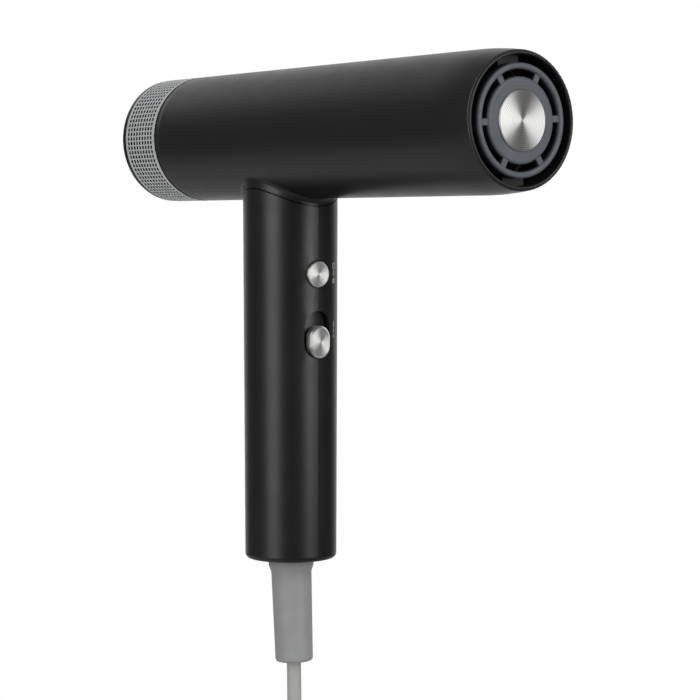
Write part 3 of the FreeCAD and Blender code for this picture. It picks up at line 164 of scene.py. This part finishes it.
SOCKET_NAMES = {
    "roughness": "Roughness",
    "metallic": "Metallic",
    "specular": "Specular IOR Level",
    "coat": "Coat Weight",
    "anisotropic": "Anisotropic",
    "turn": "Anisotropic Rotation",
    "sheen": "Sheen Weight",
}


class Finish:
    """A material under construction: its nodes, its links and its main shader."""

    def __init__(self, name):
        self.material = bpy.data.materials.new(name)
        self.material.use_nodes = True
        self.tree = self.material.node_tree
        self.shader = self.tree.nodes["Principled BSDF"]

    def node(self, kind, **settings):
        made = self.tree.nodes.new(kind)
        for setting, wanted in settings.items():
            setattr(made, setting, wanted)
        return made

    def link(self, output, target):
        self.tree.links.new(output, target)

    def place(self):
        return self.node("ShaderNodeTexCoord").outputs["Object"]

    def set(self, **sockets):
        for word, number in sockets.items():
            self.shader.inputs[SOCKET_NAMES[word]].default_value = number
        return self

    def noise(self, size, detail=3.0):
        """Noise whose blotches are about "size" metres across."""
        texture = self.node("ShaderNodeTexNoise")
        texture.inputs["Scale"].default_value = 1 / size
        texture.inputs["Detail"].default_value = detail
        self.link(self.place(), texture.inputs["Vector"])
        return texture.outputs["Fac"]

    def ramp(self, source, low, high, start=0.3, end=0.7):
        """A number from 0 to 1 turned into a number from low to high."""
        scale = self.node("ShaderNodeMapRange")
        scale.inputs["From Min"].default_value = start
        scale.inputs["From Max"].default_value = end
        scale.inputs["To Min"].default_value = low
        scale.inputs["To Max"].default_value = high
        self.link(source, scale.inputs["Value"])
        return scale.outputs["Result"]

    def math(self, operation, first, second=None):
        made = self.node("ShaderNodeMath", operation=operation)
        for socket, item in zip(made.inputs, (first, second)):
            if item is None:
                continue
            if isinstance(item, (int, float)):
                socket.default_value = item
            else:
                self.link(item, socket)
        return made.outputs["Value"]

    def blend(self, share, first, second):
        """A colour between two colours; share is an output from 0 to 1."""
        mix = self.node("ShaderNodeMix", data_type="RGBA")
        self.link(share, mix.inputs["Factor"])
        mix.inputs["A"].default_value = (*first, 1)
        mix.inputs["B"].default_value = (*second, 1)
        return mix.outputs["Result"]

    def colour(self, output):
        self.link(output, self.shader.inputs["Base Color"])
        return self

    def bump(self, height, depth):
        """Bump of a real depth in metres; bumps pile up on each other."""
        made = self.node("ShaderNodeBump")
        made.inputs["Distance"].default_value = depth
        made.inputs["Strength"].default_value = 1.0
        self.link(height, made.inputs["Height"])
        before = self.shader.inputs["Normal"].links
        if before:
            self.link(before[0].from_socket, made.inputs["Normal"])
        self.link(made.outputs["Normal"], self.shader.inputs["Normal"])
        return self

    def axes(self, centre=(0, 0, 0)):
        """X, Y and Z from a centre, as three outputs."""
        shift = self.node("ShaderNodeVectorMath", operation="SUBTRACT")
        shift.inputs[1].default_value = centre
        self.link(self.place(), shift.inputs[0])
        split = self.node("ShaderNodeSeparateXYZ")
        self.link(shift.outputs["Vector"], split.inputs["Vector"])
        return split.outputs["X"], split.outputs["Y"], split.outputs["Z"]

    def waves(self, source, pitch):
        """A smooth wave from 0 to 1 that repeats every "pitch" of the source."""
        angle = self.math("MULTIPLY", source, 2 * math.pi / pitch)
        return self.ramp(self.math("SINE", angle), 0, 1, -1, 1)


# ---------------------------------------------------------------- materials

# Painted shade: behind its front the grille's colour darkens from the first depth on, where its
# sides lie in shadow, and is darkest at the second.
SHADE_START = 0.0008
SHADE_DEEP = 0.0024
SHADE_DARKEST = 0.12

TURNED_COLOUR = (0.93, 0.92, 0.895)
TURNED_ROUGHNESS = 0.3
# Turns the metal's highlight a quarter round, so that it spreads across the grooves.
ACROSS_THE_GROOVES = 0.25
# Piece, groove pitch and groove depth in metres, anisotropy, and how much darker a groove is.
TURNED_FACES = [
    ("outlet_disc", 0.00075, 0.00003, 0.72, 0.38),
    ("button_cap", 0.0004, 0.000003, 0.6, 0.12),
    ("slider_knob", 0.0004, 0.000003, 0.6, 0.12),
]


def grained(name, colour, roughness, spread=0.12, grain=0.0004, depth=0.00001, blotch=0.02,
            **sockets):
    """Moulded plastic, rubber or cast metal: faint blotches of tone, and a fine grain."""
    finish = Finish(name)
    darker = [c * (1 - spread) for c in colour]
    lighter = [c * (1 + spread) for c in colour]
    tone = finish.ramp(finish.noise(blotch), 0, 1)
    finish.colour(finish.blend(tone, darker, lighter))
    uneven = finish.ramp(finish.noise(blotch / 3), roughness * 0.94, roughness * 1.06)
    finish.link(uneven, finish.shader.inputs["Roughness"])
    finish.bump(finish.noise(grain, 2.0), depth)
    finish.set(**sockets)
    return finish


def turned_metal(name, colour, roughness, pitch, centre, depth, anisotropic, contrast):
    """A face cut on a lathe: rings around X through a centre."""
    finish = Finish(name)
    _, across, up = finish.axes(centre)
    radius = finish.math("POWER", finish.math("ADD", finish.math("POWER", across, 2.0),
                                              finish.math("POWER", up, 2.0)), 0.5)
    rings = finish.waves(radius, pitch)
    shade = finish.ramp(rings, 0, 1, 0, 1)
    finish.colour(finish.blend(shade, [c * (1 - contrast) for c in colour], colour))
    finish.bump(rings, depth)
    finish.set(metallic=1.0, roughness=roughness, anisotropic=anisotropic,
               turn=ACROSS_THE_GROOVES)
    tangent = finish.node("ShaderNodeTangent", direction_type="RADIAL", axis="X")
    finish.link(tangent.outputs["Tangent"], finish.shader.inputs["Tangent"])
    return finish


def banded(name, colour, roughness, pitch, depth, axis="X", share=0.25, **sockets):
    """Fine parallel lines across one axis, such as stacked sheets or turns of wire."""
    finish = Finish(name)
    along = finish.axes()["XYZ".index(axis)]
    lines = finish.waves(along, pitch)
    finish.colour(finish.blend(lines, [c * (1 - share) for c in colour], colour))
    finish.link(finish.ramp(finish.noise(0.003), roughness * 0.9, roughness * 1.1),
                finish.shader.inputs["Roughness"])
    finish.bump(lines, depth)
    finish.set(**sockets)
    return finish


def woven(name, colour, roughness, pitch, depth, centre, **sockets):
    """A weave laid around X through a centre: threads along X cross threads around it."""
    finish = Finish(name)
    along, across, up = finish.axes(centre)
    angle = finish.math("ARCTAN2", up, across)
    around = finish.math("MULTIPLY", angle, BARREL_RADIUS)
    warp = finish.waves(along, pitch)
    weft = finish.waves(around, pitch)
    cloth = finish.math("MULTIPLY", warp, weft)
    finish.colour(finish.blend(cloth, [c * 0.35 for c in colour], colour))
    finish.bump(cloth, depth)
    finish.set(roughness=roughness, **sockets)
    return finish


def shaded_grille(name, colour):
    """Moulded grey with painted shade: its colour darkens with depth behind the grille's front,
    where the grille's sides lie in shadow.
    """
    finish = grained(name, colour, 0.5, spread=0.1, blotch=0.004)
    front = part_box("outlet_grille")[1].x
    along, _, _ = finish.axes()
    # Painted shade: the colour is multiplied darker the deeper a point lies behind the grille's
    # front.
    shade = finish.ramp(along, SHADE_DARKEST, 1.0, front - SHADE_DEEP, front - SHADE_START)
    mix = finish.node("ShaderNodeMix", data_type="RGBA", blend_type="MULTIPLY")
    mix.inputs["Factor"].default_value = 1.0
    finish.link(finish.shader.inputs["Base Color"].links[0].from_socket, mix.inputs["A"])
    finish.link(shade, mix.inputs["B"])
    finish.colour(mix.outputs["Result"])
    return finish


def circuit_board(name):
    """Green solder mask over faint straight tracks."""
    finish = Finish(name)
    brick = finish.node("ShaderNodeTexBrick")
    brick.inputs["Scale"].default_value = 160
    brick.inputs["Mortar Size"].default_value = 0.03
    brick.inputs["Color1"].default_value = (0.012, 0.085, 0.04, 1)
    brick.inputs["Color2"].default_value = (0.014, 0.1, 0.046, 1)
    brick.inputs["Mortar"].default_value = (0.05, 0.2, 0.09, 1)
    _, across, up = finish.axes()
    flat = finish.node("ShaderNodeCombineXYZ")
    finish.link(across, flat.inputs["X"])
    finish.link(up, flat.inputs["Y"])
    finish.link(flat.outputs["Vector"], brick.inputs["Vector"])
    finish.colour(brick.outputs["Color"])
    finish.bump(finish.noise(0.001), 0.00003)
    finish.set(roughness=0.3, coat=0.4)
    return finish


def make_finishes():
    """One finish for each material slot in the record, apart from the turned metal."""
    axis_centre = (0, 0, AXIS_HEIGHT)
    return {
        "matte_black": grained("matte_black", (0.0062, 0.0062, 0.0066), 0.37,
                               grain=0.00025, depth=0.000004),
        "dark_plastic": grained("dark_plastic", (0.008, 0.008, 0.009), 0.42),
        "slot_plastic": grained("slot_plastic", (0.008, 0.008, 0.009), 0.38),
        "grille_grey": shaded_grille("grille_grey", (0.064, 0.071, 0.082)),
        "mica": banded("mica", (0.09, 0.075, 0.055), 0.5, 0.0013, 0.00002, "Z"),
        "heating_alloy": banded("heating_alloy", (0.12, 0.11, 0.1), 0.4, 0.0009, 0.0002, "X",
                                metallic=0.8),
        "steel": grained("steel", (0.5, 0.51, 0.52), 0.3, metallic=1.0),
        "core_steel": banded("core_steel", (0.22, 0.22, 0.24), 0.4, 0.0005, 0.00004, "X",
                             metallic=0.9),
        "motor_aluminium": grained("motor_aluminium", (0.55, 0.56, 0.57), 0.42, metallic=1.0),
        "copper": banded("copper", (0.62, 0.27, 0.12), 0.3, 0.0004, 0.0001, "X", metallic=0.9),
        "magnet": grained("magnet", (0.25, 0.25, 0.26), 0.3, metallic=0.9),
        "fan_plastic": grained("fan_plastic", (0.03, 0.032, 0.036), 0.45),
        "soft_rubber": grained("soft_rubber", (0.018, 0.018, 0.02), 0.7),
        "perforated_metal": grained("perforated_metal", (0.46, 0.475, 0.48), 0.45, spread=0.06,
                                    grain=0.0003, blotch=0.003, metallic=0.35),
        "fine_mesh": woven("fine_mesh", (0.03, 0.031, 0.033), 0.5, 0.0005, 0.00012, axis_centre,
                           metallic=0.4),
        "circuit_board": circuit_board("circuit_board"),
        "capacitor_sleeve": grained("capacitor_sleeve", (0.02, 0.025, 0.05), 0.3),
        "switch_plastic": grained("switch_plastic", (0.6, 0.59, 0.55), 0.45, spread=0.04),
        "wire_red": grained("wire_red", (0.4, 0.02, 0.015), 0.4),
        "wire_white": grained("wire_white", (0.7, 0.7, 0.66), 0.4, spread=0.04),
        "wire_brown": grained("wire_brown", (0.12, 0.05, 0.02), 0.4),
        "grey_rubber": grained("grey_rubber", (0.214, 0.217, 0.216), 0.55, spread=0.05,
                               grain=0.0005, depth=0.00002, blotch=0.006),
        "grey_cord": grained("grey_cord", (0.285, 0.286, 0.272), 0.5, spread=0.04,
                             grain=0.0008, depth=0.00002, blotch=0.01),
        "grey_plug": grained("grey_plug", (0.214, 0.217, 0.216), 0.5, spread=0.05, blotch=0.008),
        "tie_strap": banded("tie_strap", (0.03, 0.03, 0.033), 0.75, 0.0009, 0.00015, "Z",
                            sheen=0.3),
        "pin_brass": grained("pin_brass", (0.66, 0.6, 0.48), 0.25, metallic=1.0),
    }


def make_turned_faces():
    """The turned metal pieces, each with its rings around its own middle."""
    faces = {}
    for name, pitch, depth, anisotropic, contrast in TURNED_FACES:
        low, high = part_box(name)
        middle = ((low.x + high.x) / 2, (low.y + high.y) / 2, (low.z + high.z) / 2)
        faces[name] = turned_metal(f"turned_{name}", TURNED_COLOUR, TURNED_ROUGHNESS, pitch,
                                   middle, depth, anisotropic, contrast)
    return faces


def dress_nodes(finishes, turned_faces):
    slots = {part["node"]: part["material_slot"] for part in frame["record"]["subparts"]}
    for name, node in frame["nodes"].items():
        finish = turned_faces.get(name) or finishes[slots[name]]
        node.data.materials.clear()
        node.data.materials.append(finish.material)


# ---------------------------------------------------------------- perforated band

HOLE_COLUMNS = 9
HOLE_ROWS = 84
REAR_RIM = 0.0011
FRONT_RIM = 0.0016
HOLE_SHARE_LONG = 0.62
HOLE_SHARE_ROUND = 0.7
BAND_WALL = 0.00025
BAND_EDGE = 0.00008


def make_perforated_band(finish):
    """A thin band with rows of small rectangular holes."""
    pitch = (BAND_HIGH.x - BAND_LOW.x - REAR_RIM - FRONT_RIM) / HOLE_COLUMNS
    cuts = [BAND_LOW.x]
    for column in range(HOLE_COLUMNS):
        middle = BAND_LOW.x + REAR_RIM + pitch * (column + 0.5)
        cuts.append(middle - pitch * HOLE_SHARE_LONG / 2)
        cuts.append(middle + pitch * HOLE_SHARE_LONG / 2)
    cuts.append(BAND_HIGH.x)
    turn = 2 * math.pi / HOLE_ROWS
    angles = []
    for row in range(HOLE_ROWS):
        angles.append(turn * (row - HOLE_SHARE_ROUND / 2))
        angles.append(turn * (row + HOLE_SHARE_ROUND / 2))
    mesh = bmesh.new()
    rings = []
    for angle in angles:
        ring = []
        for x in cuts:
            ring.append(mesh.verts.new((
                x,
                -BARREL_RADIUS * math.cos(angle),
                AXIS_HEIGHT + BARREL_RADIUS * math.sin(angle),
            )))
        rings.append(ring)
    for index, ring in enumerate(rings):
        following = rings[(index + 1) % len(rings)]
        in_hole_row = index % 2 == 0
        for column in range(len(cuts) - 1):
            in_hole_column = column % 2 == 1
            if in_hole_row and in_hole_column:
                continue
            mesh.faces.new((ring[column], ring[column + 1],
                            following[column + 1], following[column]))
    bmesh.ops.recalc_face_normals(mesh, faces=mesh.faces)
    data = bpy.data.meshes.new("perforated_band")
    mesh.to_mesh(data)
    mesh.free()
    band = bpy.data.objects.new("perforated_band", data)
    bpy.context.scene.collection.objects.link(band)
    solid = band.modifiers.new("wall", "SOLIDIFY")
    solid.thickness = BAND_WALL
    solid.offset = -1
    soft = band.modifiers.new("soft_edges", "BEVEL")
    soft.width = BAND_EDGE
    soft.segments = 1
    soft.limit_method = "ANGLE"
    data.materials.append(finish.material)
    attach(band, "filter_cover")
    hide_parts("filter_band")


# ---------------------------------------------------------------- marks by the controls

MARK_TURN = math.radians(29.5)
MARK_RISE = 0.00004
HANDLE_TAPER = 0.00065
HANDLE_TOP_DEPTH = 0.02
BUTTON_HEIGHT = (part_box("button_cap")[0].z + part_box("button_cap")[1].z) / 2
SLOT_HEIGHT = AXIS_HEIGHT - 0.0866
RING_STEPS = 20
# Above the button's or the slot's middle: rise, outer and inner radius; rise, width and height.
BUTTON_RINGS = [(0.0035, 0.0014, 0.0008), (-0.0030, 0.0012, 0.0004)]
BUTTON_BAR = (0.0004, 0.0011, 0.0022)
SLIDER_BARS = [(0.0043, 0.0008, 0.0024), (0.0015, 0.0008, 0.0016), (-0.0009, 0.0008, 0.0014)]


def on_handle(turn, height):
    """A point just above the handle's slightly tapered surface."""
    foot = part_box("handle_shell")[0].z
    end_radius = HANDLE_RADIUS - HANDLE_TAPER
    along = (height - foot) / (AXIS_HEIGHT - HANDLE_TOP_DEPTH - foot)
    radius = end_radius + (HANDLE_RADIUS - end_radius) * along + MARK_RISE
    return Vector((radius * math.cos(turn), radius * math.sin(turn), height))


def add_patch(mesh, corners):
    mesh.faces.new([mesh.verts.new(on_handle(MARK_TURN + across / HANDLE_RADIUS, up))
                    for across, up in corners])


def add_bar(mesh, middle, width, height):
    low, high = middle - height / 2, middle + height / 2
    add_patch(mesh, [(-width / 2, low), (width / 2, low), (width / 2, high), (-width / 2, high)])


def add_ring(mesh, height, outer, inner):
    step = 2 * math.pi / RING_STEPS
    for number in range(RING_STEPS):
        corners = []
        for reach, turn in ((inner, number), (outer, number), (outer, number + 1),
                            (inner, number + 1)):
            corners.append((reach * math.cos(turn * step), height + reach * math.sin(turn * step)))
        add_patch(mesh, corners)


def make_marks(finish):
    """Small printed marks: a ring, a bar and a ring by the button, three bars by the slider."""
    mesh = bmesh.new()
    for rise, outer, inner in BUTTON_RINGS:
        add_ring(mesh, BUTTON_HEIGHT + rise, outer, inner)
    rise, width, height = BUTTON_BAR
    add_bar(mesh, BUTTON_HEIGHT + rise, width, height)
    for rise, width, height in SLIDER_BARS:
        add_bar(mesh, SLOT_HEIGHT + rise, width, height)
    data = bpy.data.meshes.new("control_marks")
    mesh.to_mesh(data)
    mesh.free()
    marks = bpy.data.objects.new("control_marks", data)
    bpy.context.scene.collection.objects.link(marks)
    data.materials.append(finish.material)
    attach(marks, "dryer")


# ---------------------------------------------------------------- light and floor

SCREEN_BACK = Vector((CAMERA_FORWARD.x, CAMERA_FORWARD.y, 0)).normalized()
SCREEN_TILT = 0.5
SCREEN_EDGES = (0.55, 0.9)
SCREEN_TOP_EDGES = (0.35, 0.95)
ROOM_TONES = (0.02, 0.1)
ROOM_REACH = 0.8
GROUND_EDGES = (-0.15, -0.6)
GROUND_TONE = 0.4
MATT_LEVEL = 0.5

LAMP_AIM = Vector((0, 0, 0.03))
# Name, direction from above, distance, width, height, radiance and lift above the handle.
SOFTBOXES = [
    ("left_softbox", (0.185, -0.982), 1.2, 0.7, 1.5, 3.0, 0.35),
    ("right_softbox", (0.970, 0.238), 1.2, 0.55, 1.4, 4.6, 0.45),
]

FLOOR_RADIUS = 0.9
FLOOR_GAP = 0.002
FLOOR_WHITE_SHARE = 0.8
FLOOR_MIRRORED_TONES = (0.44, 0.1)
FLOOR_MIRRORED_REACH = (-0.1, 0.35)


class WorldNodes:
    """The world's node tree, with short ways to add and link its nodes."""

    def __init__(self, world):
        world.use_nodes = True
        self.tree = world.node_tree
        self.tree.nodes.clear()

    def node(self, kind, **settings):
        made = self.tree.nodes.new(kind)
        for setting, wanted in settings.items():
            setattr(made, setting, wanted)
        return made

    def link(self, output, target):
        self.tree.links.new(output, target)

    def ramp(self, source, edges, tones, smooth=True):
        """A number between two edges turned into a number between two tones."""
        kind = "SMOOTHSTEP" if smooth else "LINEAR"
        scale = self.node("ShaderNodeMapRange", interpolation_type=kind)
        scale.inputs["From Min"].default_value, scale.inputs["From Max"].default_value = edges
        scale.inputs["To Min"].default_value, scale.inputs["To Max"].default_value = tones
        self.link(source, scale.inputs["Value"])
        return scale.outputs["Result"]

    def math(self, operation, first, second):
        made = self.node("ShaderNodeMath", operation=operation)
        self.link(first, made.inputs[0])
        self.link(second, made.inputs[1])
        return made.outputs["Value"]


def gloss_surroundings(nodes):
    """What gloss sees: a white screen behind the object, in a dark room with a paler ground."""
    place = nodes.node("ShaderNodeTexCoord").outputs["Generated"]
    towards = nodes.node("ShaderNodeVectorMath", operation="DOT_PRODUCT")
    towards.inputs[1].default_value = (SCREEN_BACK.x, SCREEN_BACK.y, SCREEN_TILT)
    nodes.link(place, towards.inputs[0])
    split = nodes.node("ShaderNodeSeparateXYZ")
    nodes.link(place, split.inputs["Vector"])
    screen = nodes.ramp(towards.outputs["Value"], SCREEN_EDGES, (0.0, 1.0))
    screen_top = nodes.ramp(split.outputs["Z"], SCREEN_TOP_EDGES, (1.0, 0.0))
    room = nodes.ramp(split.outputs["X"], (ROOM_REACH, -ROOM_REACH), ROOM_TONES, smooth=False)
    ground = nodes.ramp(split.outputs["Z"], GROUND_EDGES, (0.0, GROUND_TONE))
    faded_screen = nodes.math("MULTIPLY", screen, screen_top)
    return nodes.math("MAXIMUM", nodes.math("ADD", room, ground), faded_screen)


def make_world():
    """White for the camera, a plain level for matt surfaces, and its own view for gloss."""
    world = bpy.data.worlds.new("studio")
    bpy.context.scene.world = world
    nodes = WorldNodes(world)
    ray = nodes.node("ShaderNodeLightPath")
    see_through = nodes.math("MAXIMUM", ray.outputs["Is Camera Ray"],
                             ray.outputs["Is Transmission Ray"])
    gloss = nodes.node("ShaderNodeMix", data_type="FLOAT")
    gloss.inputs["A"].default_value = MATT_LEVEL
    nodes.link(ray.outputs["Is Glossy Ray"], gloss.inputs["Factor"])
    nodes.link(gloss_surroundings(nodes), gloss.inputs["B"])
    level = nodes.node("ShaderNodeMix", data_type="FLOAT")
    level.inputs["B"].default_value = 1.0
    nodes.link(see_through, level.inputs["Factor"])
    nodes.link(gloss.outputs["Result"], level.inputs["A"])
    shine = nodes.node("ShaderNodeBackground")
    shine.inputs["Color"].default_value = (1, 1, 1, 1)
    nodes.link(level.outputs["Result"], shine.inputs["Strength"])
    output = nodes.node("ShaderNodeOutputWorld")
    nodes.link(shine.outputs["Background"], output.inputs["Surface"])


def make_softbox(name, direction, distance, width, height, radiance, lift):
    """A tall soft lamp that looks at the handle."""
    lamp = bpy.data.lights.new(name, "AREA")
    lamp.shape = "RECTANGLE"
    lamp.size = width
    lamp.size_y = height
    lamp.energy = radiance * math.pi * width * height
    holder = bpy.data.objects.new(name, lamp)
    bpy.context.scene.collection.objects.link(holder)
    place = Vector((*direction, 0)).normalized() * distance + Vector((0, 0, lift))
    holder.location = place
    holder.rotation_euler = (place - LAMP_AIM).to_track_quat("Z", "Y").to_euler()


def make_floor():
    """A round pale table below, white to the camera but for the object's shadow."""
    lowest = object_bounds()[0][2]
    mesh = bmesh.new()
    bmesh.ops.create_circle(mesh, cap_ends=True, radius=FLOOR_RADIUS, segments=96)
    data = bpy.data.meshes.new("floor")
    mesh.to_mesh(data)
    mesh.free()
    floor = bpy.data.objects.new("floor", data)
    floor.location = (0, 0, lowest - FLOOR_GAP)
    bpy.context.scene.collection.objects.link(floor)
    finish = Finish("pale_floor")
    tone = finish.ramp(finish.noise(0.15), 0, 1)
    finish.colour(finish.blend(tone, (0.78, 0.78, 0.78), (0.8, 0.8, 0.8)))
    finish.set(roughness=0.9, specular=0.0)
    white = finish.node("ShaderNodeEmission")
    ray = finish.node("ShaderNodeLightPath")
    # Gloss sees a grey table that falls off towards +X, where the room is dark.
    mirrored_tone = finish.ramp(finish.axes()[0], *FLOOR_MIRRORED_TONES, *FLOOR_MIRRORED_REACH)
    finish.link(finish.math("MAXIMUM", ray.outputs["Is Camera Ray"], mirrored_tone),
                white.inputs["Strength"])
    seen = finish.math("MULTIPLY", ray.outputs["Is Camera Ray"], FLOOR_WHITE_SHARE)
    share = finish.math("MAXIMUM", seen, ray.outputs["Is Glossy Ray"])
    mix = finish.node("ShaderNodeMixShader")
    finish.link(share, mix.inputs["Fac"])
    finish.link(finish.shader.outputs["BSDF"], mix.inputs[1])
    finish.link(white.outputs["Emission"], mix.inputs[2])
    finish.link(mix.outputs["Shader"], finish.tree.nodes["Material Output"].inputs["Surface"])
    data.materials.append(finish.material)


# ---------------------------------------------------------------- build

make_camera()
cord = make_cord()
finishes = make_finishes()
dress_nodes(finishes, make_turned_faces())
cord.data.materials.append(finishes["grey_cord"].material)
make_perforated_band(finishes["perforated_metal"])
make_marks(grained("mark_print", (0.24, 0.24, 0.24), 0.5, blotch=0.002))
make_world()
for softbox in SOFTBOXES:
    make_softbox(*softbox)
make_floor()
bpy.context.scene.view_settings.view_transform = "Standard"
